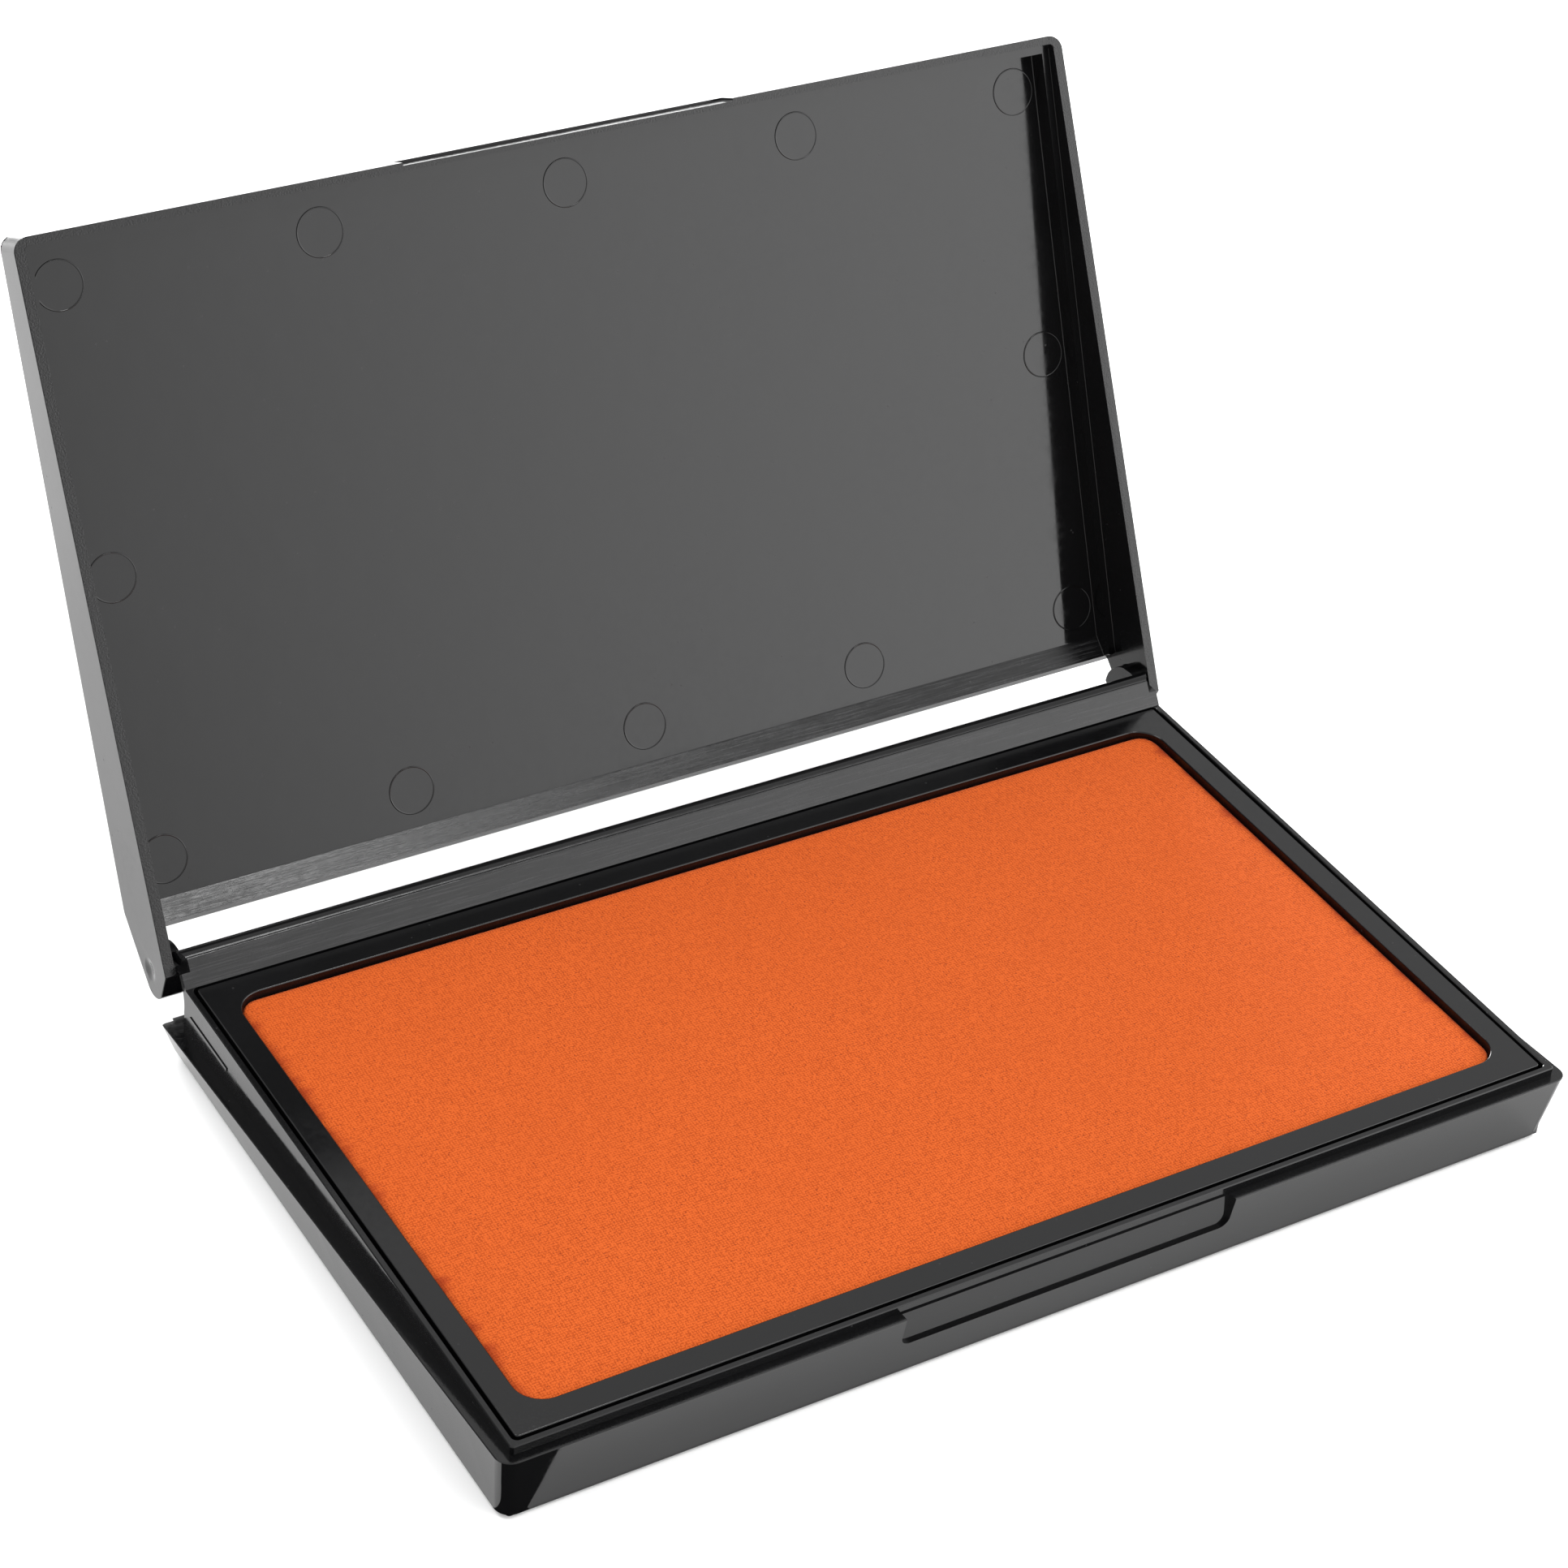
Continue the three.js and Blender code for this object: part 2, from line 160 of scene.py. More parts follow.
class Finish(Nodes):
    """A material's node tree around one Principled shader. Its place is in millimetres."""

    def __init__(self, name, **settings):
        self.material = bpy.data.materials.new(name)
        self.material.use_nodes = True
        super().__init__(self.material.node_tree)
        self.tree.nodes.clear()
        self.shader = self.tree.nodes.new("ShaderNodeBsdfPrincipled")
        output = self.tree.nodes.new("ShaderNodeOutputMaterial")
        self.tree.links.new(self.shader.outputs[0], output.inputs["Surface"])
        for socket, value in settings.items():
            self.shader.inputs[socket.replace("_", " ")].default_value = value
        coordinates = self.tree.nodes.new("ShaderNodeTexCoord")
        self.place = self.node("ShaderNodeVectorMath", coordinates.outputs["Object"], operation="SCALE")
        self.place.node.inputs["Scale"].default_value = 1 / MM
        self.normal = coordinates.outputs["Normal"]

    def split(self, vector):
        """A vector's X, Y and Z outputs."""
        made = self.tree.nodes.new("ShaderNodeSeparateXYZ")
        self.feed(made.inputs[0], vector)
        return made.outputs

    def stretched(self, vector, x, y, z):
        return self.node("ShaderNodeVectorMath", vector, (x, y, z), operation="MULTIPLY")

    def turned(self, vector, angle, centre=(0, 0, 0)):
        """A vector turned by an angle about X, through a centre."""
        made = self.tree.nodes.new("ShaderNodeVectorRotate")
        made.rotation_type = "X_AXIS"
        made.inputs["Center"].default_value = centre
        made.inputs["Angle"].default_value = angle
        self.feed(made.inputs["Vector"], vector)
        return made.outputs[0]

    def distance(self, vector, point):
        return self.node("ShaderNodeVectorMath", vector, point, output=1, operation="DISTANCE")

    def noise(self, vector, scale, detail=2.0, roughness=0.5):
        """Cloudy noise from about 0 to 1, with scale clouds a millimetre."""
        made = self.tree.nodes.new("ShaderNodeTexNoise")
        self.feed(made.inputs["Vector"], vector)
        made.inputs["Scale"].default_value = scale
        made.inputs["Detail"].default_value = detail
        made.inputs["Roughness"].default_value = roughness
        return made.outputs["Fac"]

    def cells(self, vector, scale):
        """The distance to the nearest of many scattered points, with scale points a millimetre."""
        made = self.tree.nodes.new("ShaderNodeTexVoronoi")
        self.feed(made.inputs["Vector"], vector)
        made.inputs["Scale"].default_value = scale
        return made.outputs["Distance"]

    def blend_colors(self, factor, first, second):
        """The first colour where the factor is 0, and the second where it is 1."""
        made = self.tree.nodes.new("ShaderNodeMix")
        made.data_type = "RGBA"
        self.feed(made.inputs["Factor"], factor)
        for index, color in ((6, first), (7, second)):
            self.feed(made.inputs[index], (*color, 1.0) if isinstance(color, tuple) else color)
        return made.outputs[2]

    def color(self, value):
        self.feed(self.shader.inputs["Base Color"], value)

    def roughness(self, value):
        self.feed(self.shader.inputs["Roughness"], value)

    def relief(self, height_mm):
        """Bumps the surface by a height in millimetres."""
        bump = self.tree.nodes.new("ShaderNodeBump")
        bump.inputs["Distance"].default_value = MM
        self.feed(bump.inputs["Height"], height_mm)
        self.feed(self.shader.inputs["Normal"], bump.outputs["Normal"])


# ---- Black styrene ----

BLACK = (0.0020, 0.0020, 0.0022)
BLACK_DULL = (0.0031, 0.0031, 0.0034)
BLACK_WORN = (0.0075, 0.0075, 0.008)
DUST = (0.019, 0.019, 0.020)
PLASTIC_SHINE = 0.31
WORN_CORNER = (-81.5, -48.5)
RIPPLE_DEPTH = 0.012
BRUSHED_DEPTH = 0.03


def moulded_black(name, place_and_normal, zones, roughness, grain_depth):
    """Black styrene, with zones giving masks for its spark-textured, brushed and polished faces."""
    finish = Finish(name, Specular_IOR_Level=PLASTIC_SHINE)
    place, normal = place_and_normal(finish)
    masks = zones(finish, finish.split(place), finish.split(normal))
    patterns = black_patterns(finish, place)
    finish.roughness(black_roughness(finish, masks, patterns, roughness, grain_depth))
    finish.color(black_tone(finish, masks, patterns))
    finish.relief(black_relief(finish, masks, patterns, grain_depth))
    return finish.material


def black_patterns(finish, place):
    """The marks that the roughness, the tone and the relief share."""
    long_streaks = finish.stretched(place, 0.09, 3.4, 3.4)
    return {
        "smudge": finish.noise(place, scale=0.035, detail=3.0, roughness=0.6),
        "fine": finish.noise(place, scale=0.9, detail=3.0, roughness=0.55),
        "grain": finish.noise(place, scale=4.2, detail=2.0, roughness=0.6),
        "streaks": finish.noise(long_streaks, scale=1.0, detail=4.0, roughness=0.7),
        "flecks": finish.ramp(finish.cells(place, scale=0.33), low=0.075, high=0.035),
        "ripple": finish.noise(place, scale=0.16, detail=1.0),
    }


def black_roughness(finish, masks, patterns, roughness, grain_depth):
    """Smudged all over, rougher on grain, brushing and flecks, and smoother where polished."""
    smudged = finish.ramp(patterns["smudge"], 0.3, 0.75, start=roughness - 0.03, end=roughness + 0.05)
    rough = finish.math("ADD", smudged, finish.ramp(patterns["fine"], 0.35, 0.7, start=-0.02, end=0.03))
    rough = finish.multiply_add(masks["polished"], -0.05, rough)
    grain = finish.ramp(patterns["grain"], 0.35, 0.65, end=3 * grain_depth)
    rough = finish.multiply_add(masks["grained"], grain, rough)
    streaks = finish.ramp(patterns["streaks"], 0.35, 0.65, end=0.12)
    rough = finish.multiply_add(masks["brushed"], streaks, rough)
    return finish.multiply_add(patterns["flecks"], 0.2, rough)


def black_tone(finish, masks, patterns):
    """Near black, greyer on smudges and scuffed grain, and dusty on brushed streaks and flecks."""
    tone = finish.blend_colors(finish.ramp(patterns["smudge"], 0.35, 0.8), BLACK, BLACK_DULL)
    scuffed = finish.multiply(masks["grained"], finish.ramp(patterns["grain"], 0.5, 0.7, end=0.7))
    tone = finish.blend_colors(scuffed, tone, BLACK_WORN)
    rubbed = finish.multiply(masks["brushed"], finish.ramp(patterns["streaks"], 0.45, 0.7, end=0.8))
    tone = finish.blend_colors(rubbed, tone, DUST)
    return finish.blend_colors(finish.multiply(patterns["flecks"], 0.5), tone, DUST)


def black_relief(finish, masks, patterns, grain_depth):
    """The moulding's slow ripple, with the grain and the brushed streaks in their zones."""
    height = finish.multiply(patterns["ripple"], RIPPLE_DEPTH)
    grain = finish.multiply(masks["grained"], patterns["grain"])
    height = finish.multiply_add(grain, grain_depth, height)
    streaks = finish.multiply(masks["brushed"], patterns["streaks"])
    return finish.multiply_add(streaks, BRUSHED_DEPTH, height)


def as_placed(finish):
    """Place and normal as they are, for the parts that never turn."""
    return finish.place, finish.normal


def as_if_shut(finish):
    """Place and normal turned back to the shut lid, so that its zones follow the moulding."""
    place = finish.turned(finish.place, OPEN_ANGLE, centre=HINGE_POINT / MM)
    return place, finish.turned(finish.normal, OPEN_ANGLE)


def base_zones(finish, place, normal):
    """Grain on upward faces round the pad, brushing on the rail's front, and polished sides."""
    behind_pad = finish.ramp(place["Y"], CAVITY_REAR - 0.3, CAVITY_REAR + 0.1)
    above_frame = finish.ramp(place["Z"], FRAME_TOP - 0.1, FRAME_TOP + 0.2)
    upward = finish.ramp(normal["Z"], 0.75, 0.95)
    forward = finish.ramp(normal["Y"], -0.5, -0.8)
    return {
        "grained": finish.multiply(upward, finish.math("SUBTRACT", 1.0, behind_pad)),
        "brushed": finish.multiply(finish.multiply(behind_pad, above_frame), forward),
        "polished": finish.ramp(normal["Z"], 0.2, 0.0),
    }


def lid_zones(finish, place, normal):
    """On the shut lid: grain on its free edges, brushing on the bent panel, and a polished ceiling."""
    downward = finish.ramp(normal["Z"], -0.75, -0.9)
    behind_bend = finish.ramp(place["Y"], BENT_PANEL_FRONT - 0.1, BENT_PANEL_FRONT + 0.2)
    bent = finish.multiply(behind_bend, finish.ramp(normal["Z"], -0.6, -0.8))
    above_edge = finish.ramp(place["Z"], BENT_PANEL_EDGE - 0.1, BENT_PANEL_EDGE + 0.1)
    near_ceiling = finish.ramp(place["Z"], LID_CEILING - 0.26, LID_CEILING - 0.06)
    return {
        "grained": finish.multiply(downward, finish.ramp(place["Z"], LID_STEP - 0.2, LID_STEP - 0.5)),
        "brushed": finish.multiply(bent, above_edge),
        "polished": finish.multiply(downward, near_ceiling),
    }


def frame_zones(finish, place, normal):
    """A light all-over grain on top, strongest where the frame is worn at its front left corner."""
    from_corner = finish.distance(finish.place, (*WORN_CORNER, FRAME_TOP))
    worn = finish.ramp(from_corner, 9.0, 1.0, start=0.12, end=1.0)
    grained = finish.multiply(worn, finish.ramp(normal["Z"], 0.6, 0.9))
    return {"grained": grained, "brushed": 0.0, "polished": 0.0}


# ---- Cloth, felt, foam and card ----

CLOTH_LIGHT = (0.49, 0.085, 0.0120)
CLOTH_MIDDLE = (0.39, 0.060, 0.007)
CLOTH_DARK = (0.33, 0.049, 0.0055)
CLOTH_PIT = (0.15, 0.015, 0.002)
# Painted shade: the colour of the cloth's edges where it curves down to the frame.
CLOTH_EDGE_SHADE = (0.20, 0.0145, 0.0026)
FELT_LIGHT = (0.38, 0.060, 0.009)
FELT_DARK = (0.21, 0.025, 0.004)
FOAM_LIGHT = (0.40, 0.125, 0.032)
FOAM_DARK = (0.25, 0.062, 0.013)
CARD_LIGHT = (0.34, 0.32, 0.29)
CARD_DARK = (0.20, 0.19, 0.17)
CARD_SPOT = (0.10, 0.09, 0.08)
WEAVE_PITCH = 0.42


def cloth_material():
    """A fine plain weave, soaked with ink: lighter thread tops, dark pits, and painted shade darkening its
    edges.
    """
    finish = Finish("woven_cloth", Sheen_Weight=0.03, Sheen_Roughness=0.5, Specular_IOR_Level=0.1)
    place = finish.split(finish.place)
    thread = cloth_thread(finish, place)
    patches = finish.noise(finish.place, scale=0.05, detail=3.0, roughness=0.6)
    pits = finish.ramp(finish.cells(finish.place, scale=1.3), low=0.24, high=0.06)
    tone = finish.blend_colors(finish.ramp(thread, 0.40, 0.66), CLOTH_DARK, CLOTH_LIGHT)
    tone = finish.blend_colors(finish.ramp(patches, 0.35, 0.7, end=0.15), tone, CLOTH_MIDDLE)
    tone = finish.blend_colors(finish.multiply(pits, 0.5), tone, CLOTH_PIT)
    # The edges get painted shade, darker where the cloth curves down.
    finish.color(painted_edge_shade(finish, place, tone))
    finish.roughness(finish.ramp(thread, 0.2, 0.8, start=0.9, end=0.72))
    finish.relief(finish.multiply_add(pits, -0.05, finish.multiply(thread, 0.07)))
    return finish.material


def cloth_thread(finish, place):
    """How high the threads stand, from about 0 to 1: two crossed waves that wander a little, and fuzz."""
    wander = finish.noise(finish.place, scale=0.7, detail=2.0)
    waves = []
    for axis, drift in (("X", 2.6), ("Y", -2.6)):
        phase = finish.multiply(place[axis], math.pi / WEAVE_PITCH)
        waves.append(finish.math("SINE", finish.multiply_add(wander, drift, phase)))
    weave = finish.math("ABSOLUTE", finish.multiply(*waves))
    fuzz = finish.noise(finish.place, scale=3.0, detail=1.0, roughness=0.8)
    return finish.multiply_add(weave, 0.34, finish.multiply(fuzz, 0.85))


def painted_edge_shade(finish, place, tone):
    """A tone with painted shade: darker where the cloth rolls under the frame, and in ripples along its
    short sides.
    """
    unevenness = finish.noise(finish.place, scale=0.28, detail=2.0)
    height = finish.multiply_add(unevenness, 0.5, place["Z"])
    # Painted shade where the cloth rounds down to the frame's lip.
    low = finish.ramp(height, CLOTH_SHOULDER + 0.2, CLOTH_EDGE + 0.3, end=0.8)
    tone = finish.blend_colors(low, tone, CLOTH_EDGE_SHADE)
    # Painted shade in ripples along the short sides, where the cloth curves down.
    ripples = finish.noise(finish.stretched(finish.place, 0.2, 1.0, 0.2), scale=0.35, detail=2.0)
    sideways = finish.multiply_add(ripples, 6.0, finish.math("ABSOLUTE", place["X"]))
    near_side = finish.ramp(sideways, WINDOW["half"] + 1.0, WINDOW["half"] + 3.6, end=0.65)
    return finish.blend_colors(near_side, tone, CLOTH_EDGE_SHADE)


def fibre_material(name, light, dark, scale):
    """Matted felt or open foam: clumps of colour over a rough, pitted surface."""
    finish = Finish(name, Sheen_Weight=0.2)
    clumps = finish.noise(finish.place, scale, detail=4.0, roughness=0.65)
    pores = finish.cells(finish.place, scale * 1.7)
    mix = finish.multiply(finish.ramp(clumps, 0.3, 0.7), finish.ramp(pores, 0.05, 0.4))
    finish.color(finish.blend_colors(mix, dark, light))
    finish.roughness(finish.ramp(clumps, 0.3, 0.7, start=0.98, end=0.82))
    finish.relief(finish.multiply_add(pores, 0.15, finish.multiply(clumps, 0.1)))
    return finish.material


def card_material():
    """Grey pulp board with long fibres and dark specks."""
    finish = Finish("grey_card")
    long_fibres = finish.stretched(finish.place, 0.4, 2.2, 2.2)
    fibres = finish.noise(long_fibres, scale=1.0, detail=4.0, roughness=0.7)
    spots = finish.ramp(finish.cells(finish.place, scale=0.7), low=0.16, high=0.05)
    tone = finish.blend_colors(finish.ramp(fibres, 0.3, 0.7), CARD_DARK, CARD_LIGHT)
    finish.color(finish.blend_colors(finish.multiply(spots, 0.6), tone, CARD_SPOT))
    finish.roughness(finish.ramp(fibres, 0.3, 0.7, start=0.75, end=0.9))
    finish.relief(finish.multiply(fibres, 0.04))
    return finish.material


# ---- The moulded CAD parts: welded, edges rounded, smooth shaded ----

WELD_DISTANCE = 0.0005
FLAT_ANGLE = math.radians(0.02)
ROUNDED_ANGLE = math.radians(25)
CREASE_ANGLE = math.radians(32)
LID_EDGE_RADIUS = 0.12
FRAME_EDGE_RADIUS = 0.16
BOARD_EDGE_RADIUS = 0.1


def weld_group():
    """A geometry node group that joins shared corners and smooths all but the sharp edges."""
    group = bpy.data.node_groups.new("weld_and_smooth", "GeometryNodeTree")
    group.interface.new_socket("Geometry", in_out="INPUT", socket_type="NodeSocketGeometry")
    group.interface.new_socket("Geometry", in_out="OUTPUT", socket_type="NodeSocketGeometry")
    start = group.nodes.new("NodeGroupInput")
    merge = group.nodes.new("GeometryNodeMergeByDistance")
    merge.inputs["Distance"].default_value = WELD_DISTANCE * MM
    smooth = group.nodes.new("GeometryNodeSetShadeSmooth")
    bend = group.nodes.new("GeometryNodeInputMeshEdgeAngle")
    sharp = group.nodes.new("ShaderNodeMath")
    sharp.operation = "GREATER_THAN"
    sharp.inputs[1].default_value = CREASE_ANGLE
    creases = group.nodes.new("GeometryNodeSetShadeSmooth")
    creases.domain = "EDGE"
    creases.inputs["Shade Smooth"].default_value = False
    end = group.nodes.new("NodeGroupOutput")
    group.links.new(start.outputs[0], merge.inputs["Geometry"])
    group.links.new(merge.outputs[0], smooth.inputs["Geometry"])
    group.links.new(smooth.outputs[0], creases.inputs["Geometry"])
    group.links.new(bend.outputs["Unsigned Angle"], sharp.inputs[0])
    group.links.new(sharp.outputs[0], creases.inputs["Selection"])
    group.links.new(creases.outputs[0], end.inputs[0])
    return group


def add_rounding(node, radius, offset_type):
    """A bevel on the sharp edges, with a radius in millimetres."""
    rounding = node.modifiers.new("rounding", "BEVEL")
    rounding.width = radius * MM
    rounding.segments = 2
    rounding.limit_method = "ANGLE"
    rounding.angle_limit = ROUNDED_ANGLE
    rounding.offset_type = offset_type
    rounding.use_clamp_overlap = False


def finish_node(name, weld, material, edge_radius=None, offset_type="OFFSET"):
    """Gives a CAD node its material and a clean, smooth-shaded surface, with rounded edges if wanted."""
    node = frame["nodes"][name]
    for slot in node.material_slots:
        slot.material = material
    node.modifiers.new("weld", "NODES").node_group = weld
    flatten = node.modifiers.new("flatten", "DECIMATE")
    flatten.decimate_type = "DISSOLVE"
    flatten.angle_limit = FLAT_ANGLE
    if edge_radius:
        add_rounding(node, edge_radius, offset_type)
    shading = node.modifiers.new("shading", "WEIGHTED_NORMAL")
    shading.weight = 100
    shading.keep_sharp = True


def finish_cad_parts():
    weld = weld_group()
    base_black = moulded_black("case_black_base", as_placed, base_zones, roughness=0.14, grain_depth=0.010)
    lid_black = moulded_black("case_black_lid", as_if_shut, lid_zones, roughness=0.15, grain_depth=0.045)
    frame_black = moulded_black("frame_black", as_placed, frame_zones, roughness=0.15, grain_depth=0.014)
    finish_node("base_tray", weld, base_black)
    finish_node("lid", weld, lid_black, LID_EDGE_RADIUS, "ABSOLUTE")
    finish_node("pad_frame", weld, frame_black, FRAME_EDGE_RADIUS)
    finish_node("backing_board", weld, card_material(), BOARD_EDGE_RADIUS)


# ---- Mesh helpers ----

CORNER_STEPS = 6
SMALLEST_RADIUS = 0.02


def new_object(name, mesh, material):
    made = bpy.data.objects.new(name, mesh)
    bpy.context.scene.collection.objects.link(made)
    made.data.materials.append(material)
    for polygon in made.data.polygons:
        polygon.use_smooth = True
    return made


def to_mesh(name, work):
    mesh = bpy.data.meshes.new(name)
    bmesh.ops.recalc_face_normals(work, faces=work.faces)
    work.to_mesh(mesh)
    work.free()
    return mesh


def add_ring(work, points):
    """A ring of vertices at points in millimetres."""
    return [work.verts.new(Vector(point) * MM) for point in points]


def skin(work, rings, caps):
    """Faces between each ring and the next, and across each of the capped rings."""
    count = len(rings[0])
    for inner, outer in zip(rings, rings[1:]):
        for i in range(count):
            j = (i + 1) % count
            work.faces.new((inner[i], inner[j], outer[j], outer[i]))
    for ring in caps:
        work.faces.new(ring)


def even_outline(grow, spacing):
    """The window's outline, shrunk or grown, with the same number of points at every size."""
    half = WINDOW["half"] + grow
    front = WINDOW["front"] - grow
    rear = WINDOW["rear"] + grow
    largest_radius = (rear - front) / 2 - SMALLEST_RADIUS
    radius = max(min(WINDOW["radius"] + grow, largest_radius), SMALLEST_RADIUS)
    x, low, high = half - radius, front + radius, rear - radius
    centres = [(x, low), (x, high), (-x, high), (-x, low)]
    long_steps = round(2 * WINDOW["half"] / spacing)
    short_steps = round((WINDOW["rear"] - WINDOW["front"]) / spacing)
    points = []
    for k, centre in enumerate(centres):
        start = 90 * (k - 1)
        turns = [start + 90 * i / CORNER_STEPS for i in range(CORNER_STEPS + 1)]
        points += [on_circle(centre, radius, degrees) for degrees in turns]
        target = on_circle(centres[(k + 1) % 4], radius, start + 90)
        points += between(points[-1], target, long_steps if k % 2 else short_steps)
    return points


def on_circle(centre, radius, degrees):
    angle = math.radians(degrees)
    return centre[0] + radius * math.cos(angle), centre[1] + radius * math.sin(angle)


def between(first, last, steps):
    """The points inside a straight line divided in equal steps."""
    return [
        (first[0] + (last[0] - first[0]) * i / steps, first[1] + (last[1] - first[1]) * i / steps)
        for i in range(1, steps)
    ]


# ---- The cloth, stretched over the felt's crown and tucked under the frame's lip ----

CLOTH_SPACING = 2.5

# Rings of the cloth: in the window by how far they lie inside it, then under the frame's lip and down the
# felt's side by how far they lie outside the window and at what height.
CLOTH_INSETS = (44.9, 40, 34, 28, 22, 17, 13, 10, 7.5, 5.5, 4, 3, 2.2, 1.5, 0.9, 0.5, 0.25)
CLOTH_TUCK_UNDER = ((0.1, 11.05), (0.6, 10.98), (1.2, 10.96), (1.55, 10.8))
CLOTH_TUCK_DOWN = ((1.68, 10.3), (1.70, 9.0), (1.70, 7.2))


def eased(distance, reach):
    """From 0 at no distance, rising ever more slowly to 1 at the reach."""
    return 1 - max(0.0, 1 - max(distance, 0.0) / reach) ** 2


def crown_height(x, y):
    """The cloth's height in the window: almost level, and rounding down to the lip at its edges."""
    inset = min(WINDOW["half"] - abs(x), y - WINDOW["front"], WINDOW["rear"] - y)
    shoulder = (CLOTH_SHOULDER - CLOTH_EDGE) * math.sqrt(eased(inset, CLOTH_ROUNDING))
    return CLOTH_EDGE + shoulder + (CLOTH_CROWN - CLOTH_SHOULDER) * eased(inset, CLOTH_SWELL)


def cloth_mesh():
    work = bmesh.new()
    rings = []
    for inset in CLOTH_INSETS:
        outline = even_outline(-inset, CLOTH_SPACING)
        rings.append(add_ring(work, [(x, y, crown_height(x, y)) for x, y in outline]))
    for grow, height in CLOTH_TUCK_UNDER + CLOTH_TUCK_DOWN:
        outline = even_outline(grow, CLOTH_SPACING)
        rings.append(add_ring(work, [(x, y, height) for x, y in outline]))
    skin(work, rings, caps=rings[:1])
    return to_mesh("pad_cloth_sheet", work)


# ---- Felt and foam under the cloth ----

# Rings of a pad by how far they lie inside the window, and its side by the share of the way down and how
# far it is pulled in.
PADDING_SPACING = 5
PADDING_INSETS = (44.9, 30, 15, 8, 4, 2, 0.8)
PADDING_UNDERSIDE = (10, 44.9)
PADDING_SIDE = ((0.12, 0.0), (0.5, 0.18), (0.88, 0.0))
EDGE_ROUNDING = 0.5

# How far the felt lies below the cloth, its height under the lip, and how far each pad passes the window.
FELT_UNDER_CLOTH = 0.45
FELT_EDGE_TOP = 10.75
FELT_GROW = 1.35
FOAM_GROW = 1.6


def padding_mesh(name, bottom, top_height, grow):
    """A pad with slightly pulled-in sides, whose top follows top_height(x, y)."""
    work = bmesh.new()
    edge_top = top_height(0, WINDOW["front"])
    rings = []
    for inset in (*PADDING_INSETS, EDGE_ROUNDING - grow):
        outline = even_outline(-inset, PADDING_SPACING)
        rings.append(add_ring(work, [(x, y, top_height(x, y)) for x, y in outline]))
    for share, pull in PADDING_SIDE:
        z = edge_top - (edge_top - bottom) * share
        rings.append(add_ring(work, [(x, y, z) for x, y in even_outline(grow - pull, PADDING_SPACING)]))
    for inset in (EDGE_ROUNDING - grow, *PADDING_UNDERSIDE):
        rings.append(add_ring(work, [(x, y, bottom) for x, y in even_outline(-inset, PADDING_SPACING)]))
    skin(work, rings, caps=(rings[0], rings[-1]))
    return to_mesh(name, work)


def felt_top(x, y):
    """The felt's height: just under the cloth in the window, and pressed down under the frame's lip."""
    clear = 0.5
    across = abs(x) < WINDOW["half"] - clear
    along = WINDOW["front"] + clear < y < WINDOW["rear"] - clear
    return crown_height(x, y) - FELT_UNDER_CLOTH if across and along else FELT_EDGE_TOP


def foam_top(x, y):
    return FOAM_HIGH.z


def make_soft_layers():
    cloth = new_object("pad_cloth_sheet", cloth_mesh(), cloth_material())
    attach(cloth, "base")
    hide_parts("pad_cloth")
    felt = new_object(
        "felt_padding",
        padding_mesh("felt_padding", FELT_LOW.z, felt_top, FELT_GROW),
        fibre_material("inked_felt_fibre", FELT_LIGHT, FELT_DARK, scale=0.9),
    )
    foam = new_object(
        "foam_padding",
        padding_mesh("foam_padding", FOAM_LOW.z, foam_top, FOAM_GROW),
        fibre_material("open_foam", FOAM_LIGHT, FOAM_DARK, scale=0.6),
    )
    layers = ((felt, "felt_pad", "inked_felt", 0.8), (foam, "ink_reservoir", "ink_foam", 0.7))
    for piece, node, slot, fill in layers:
        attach(piece, "base")
        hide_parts(node)


# ---- Ejector marks on the lid's ceiling ----

MARK_RADIUS = 3.7
MARK_STEPS = 48
MARK_TOP = LID_CEILING - 0.02
MARK_ROWS = [(x, y) for y in (39.4, -44.9) for x in (-80, -40, 0, 40, 80)]
MARK_CENTRES = MARK_ROWS + [(-80, -2.8), (80, -2.8)]

# A mark's section, from its middle outwards: radius, and drop below the ceiling.
MARK_PROFILE = (
    (MARK_RADIUS - 0.24, 0.0),
    (MARK_RADIUS - 0.15, 0.09),
    (MARK_RADIUS - 0.05, 0.09),
    (MARK_RADIUS, 0.03),
    (MARK_RADIUS, -0.3),
)


def marks_mesh():
    """Shallow round pads with a fine raised lip, laid out on the shut lid's ceiling and turned open."""
    work = bmesh.new()
    for centre in MARK_CENTRES:
        rings = []
        for radius, drop in MARK_PROFILE:
            circle = [on_circle(centre, radius, 360 * i / MARK_STEPS) for i in range(MARK_STEPS)]
            places = [OPENED @ (Vector((x, y, MARK_TOP - drop)) * MM) for x, y in circle]
            rings.append([work.verts.new(place) for place in places])
        skin(work, rings, caps=(rings[0], rings[-1]))
    return to_mesh("lid_ejector_marks", work)


def make_ejector_marks():
    lid_material = frame["nodes"]["lid"].material_slots[0].material
    marks = new_object("lid_ejector_marks", marks_mesh(), lid_material)
    marks.modifiers.new("shading", "WEIGHTED_NORMAL")
    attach(marks, "lid")


# ---- Floor, light and camera ----

FLOOR_REACH = 4.0  # metres
FLOOR_DEPTH = 0.02
DARK_CARD_DEPTH = 0.01
DARK_CARD = ((-84, -46), (-82.5, -51.6), (-63, -67), (-63, -95), (-115, -95), (-115, -57), (-88, -50.4))
SKY_STRENGTH = 1.25
GLOW_DIRECTION = Vector((0.80, -0.58, 0.15)).normalized()
GLOW_GAIN = 4.2
FLAG_SHADE = 0.7
CAMERA_PLACE = (-0.2593, -0.3554, 0.3746)
CAMERA_HEADING = math.radians(-34.06)
CAMERA_DIP = math.radians(36.07)
CAMERA_ROLL = math.radians(5.57)
CAMERA_LENS = 90.55
CAMERA_SENSOR = 36


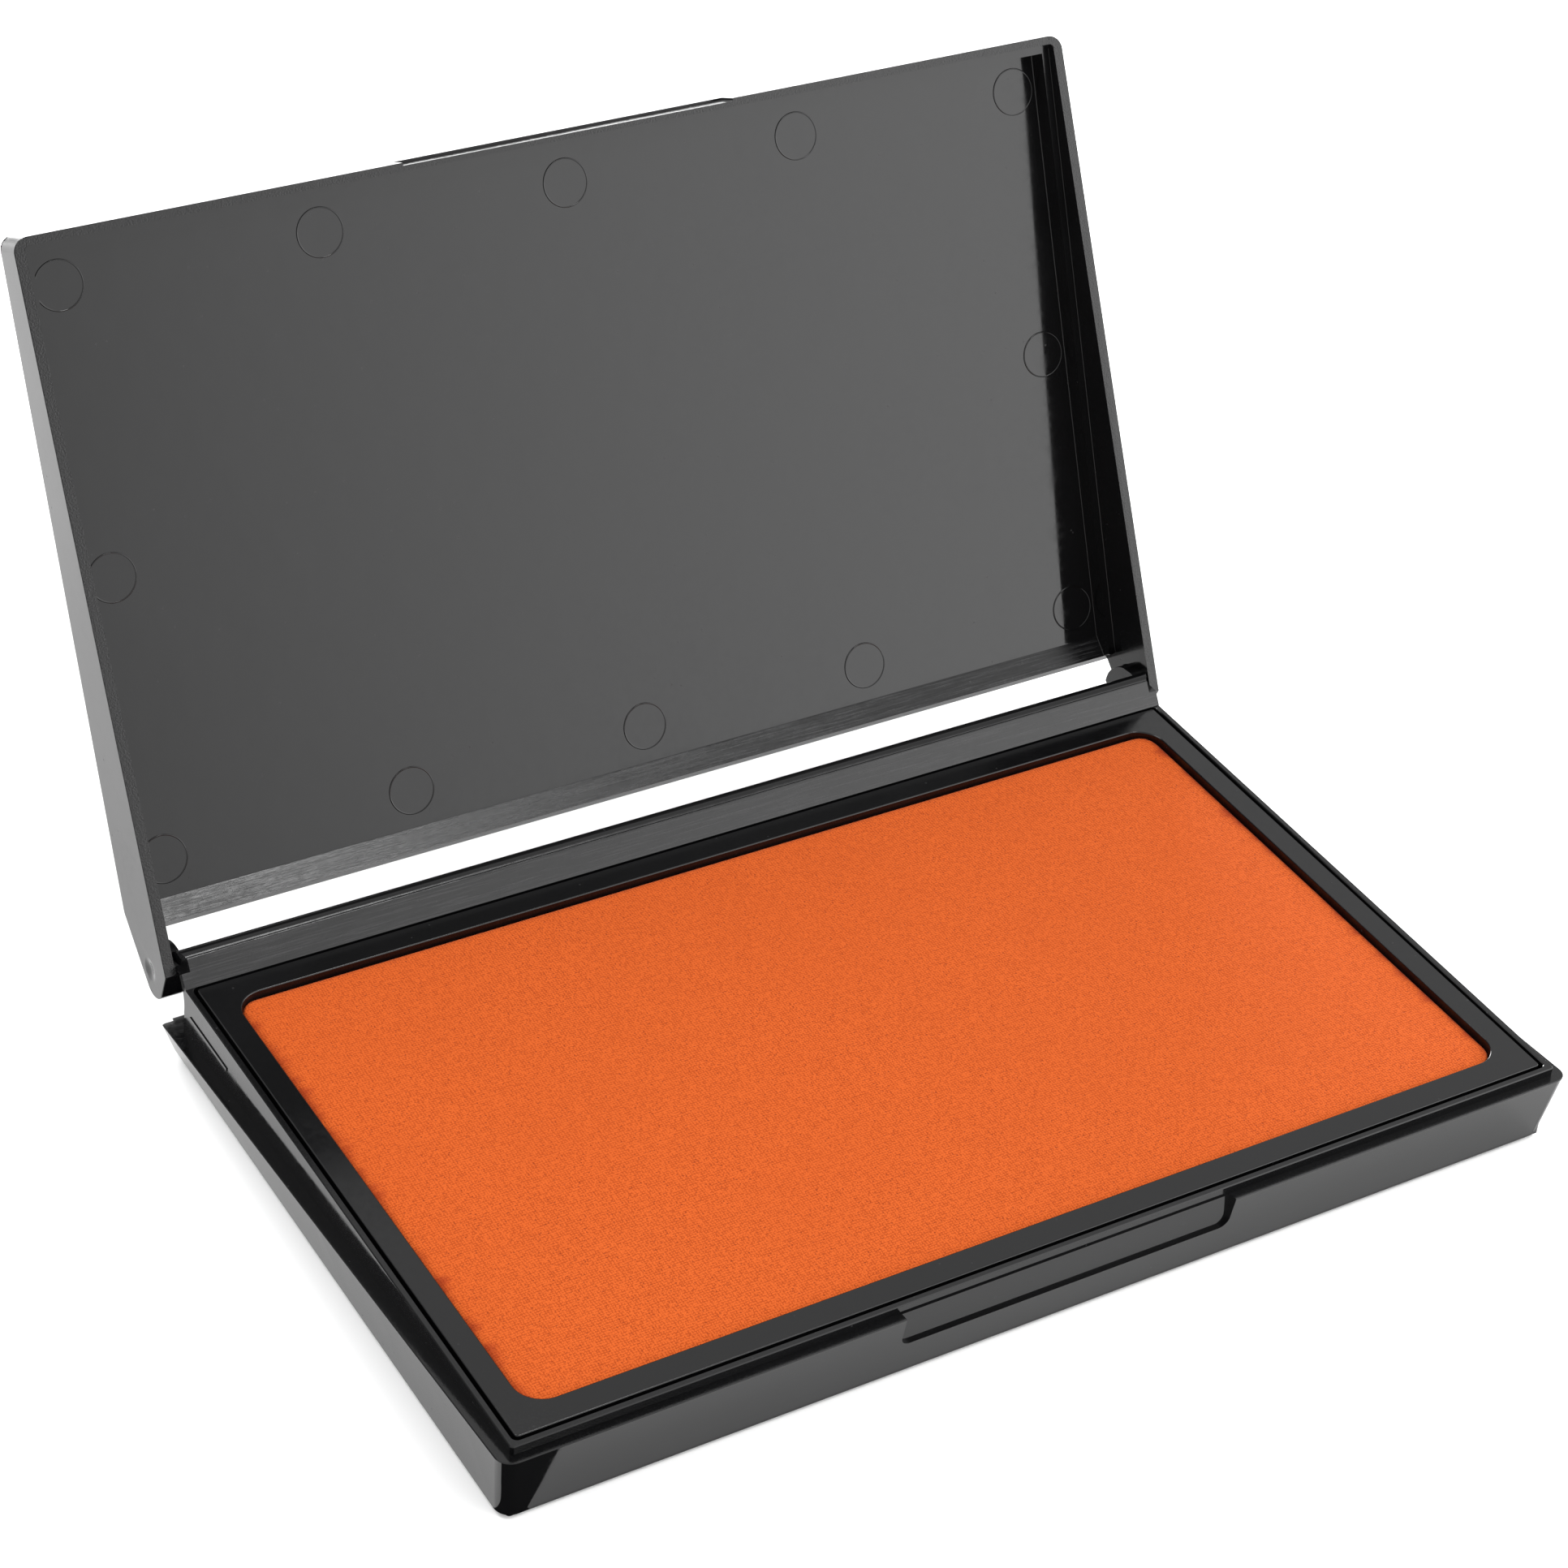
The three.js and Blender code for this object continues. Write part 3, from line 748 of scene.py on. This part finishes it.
def make_floor():
    corners = [(-1, -1), (1, -1), (1, 1), (-1, 1)]
    mesh = bpy.data.meshes.new("floor")
    mesh.from_pydata([(x * FLOOR_REACH, y * FLOOR_REACH, 0) for x, y in corners], [], [(0, 1, 2, 3)])
    finish = Finish("pale_floor", Roughness=0.85, Specular_IOR_Level=0.2)
    mottle = finish.noise(finish.place, scale=0.002)
    finish.color(finish.blend_colors(mottle, (0.94, 0.94, 0.94), (0.96, 0.96, 0.96)))
    floor = new_object("floor", mesh, finish.material)
    floor.location.z = -FLOOR_DEPTH * MM


def make_dark_card():
    """A black card on the floor by the front left corner, seen only in the gloss of that corner."""
    mesh = bpy.data.meshes.new("dark_card")
    corners = [Vector((x, y, -DARK_CARD_DEPTH)) * MM for x, y in DARK_CARD]
    mesh.from_pydata(corners, [], [list(range(len(corners)))])
    finish = Finish("dark_card", Roughness=0.9)
    mottle = finish.noise(finish.place, scale=0.1)
    finish.color(finish.blend_colors(mottle, (0.002, 0.002, 0.002), (0.004, 0.004, 0.004)))
    card = new_object("dark_card", mesh, finish.material)
    card.visible_camera = False
    card.visible_diffuse = False
    card.visible_shadow = False


def make_sky():
    """A white studio: brighter low on the right, with a dark flag high behind the lid."""
    world = bpy.data.worlds.new("studio")
    world.use_nodes = True
    sky = Sky(world.node_tree)
    glow = sky.ramp(sky.toward(GLOW_DIRECTION), 0.70, 1.0, start=1.0, end=GLOW_GAIN)
    height = sky.toward((0, 0, 1))
    band = sky.multiply(sky.ramp(height, 0.20, 0.32), sky.ramp(height, 0.56, 0.46))
    flag = sky.multiply(band, sky.ramp(sky.toward((0, 1, 0)), 0.45, 0.65))
    background = sky.tree.nodes["Background"]
    background.inputs["Strength"].default_value = SKY_STRENGTH
    sky.feed(background.inputs["Color"], sky.multiply(glow, sky.multiply_add(flag, -FLAG_SHADE, 1.0)))
    bpy.context.scene.world = world


def soft_light(name, place, target, size, watts):
    """A rectangular soft light, size metres wide and high, aimed at a target."""
    light = bpy.data.lights.new(name, "AREA")
    light.shape = "RECTANGLE"
    light.size, light.size_y = size
    light.energy = watts
    holder = bpy.data.objects.new(name, light)
    holder.location = place
    holder.rotation_euler = (Vector(target) - Vector(place)).to_track_quat("-Z", "Y").to_euler()
    bpy.context.scene.collection.objects.link(holder)


def make_lights():
    soft_light("overhead", place=(0.32, -0.62, 1.20), target=(0, 0, 0), size=(0.3, 0.3), watts=5)
    soft_light("back_left", place=(-0.55, 0.40, 1.0), target=(-0.3, 0.25, 0), size=(0.5, 0.5), watts=5)
    soft_light("behind", place=(0.20, 0.90, 0.25), target=(0.02, 0.10, 0), size=(0.6, 0.2), watts=9)


def make_camera():
    data = bpy.data.cameras.new("camera")
    data.sensor_width = CAMERA_SENSOR
    data.lens = CAMERA_LENS
    heading = Matrix.Rotation(CAMERA_HEADING, 4, "Z")
    dip = Matrix.Rotation(math.radians(90) - CAMERA_DIP, 4, "X")
    roll = Matrix.Rotation(CAMERA_ROLL, 4, "Z")
    camera = bpy.data.objects.new("camera", data)
    camera.matrix_world = Matrix.Translation(CAMERA_PLACE) @ heading @ dip @ roll
    bpy.context.scene.collection.objects.link(camera)
    bpy.context.scene.camera = camera


# ---- The scene ----

finish_cad_parts()
make_soft_layers()
make_ejector_marks()
make_floor()
make_dark_card()
make_sky()
make_lights()
make_camera()
bpy.context.scene.view_settings.view_transform = "Standard"
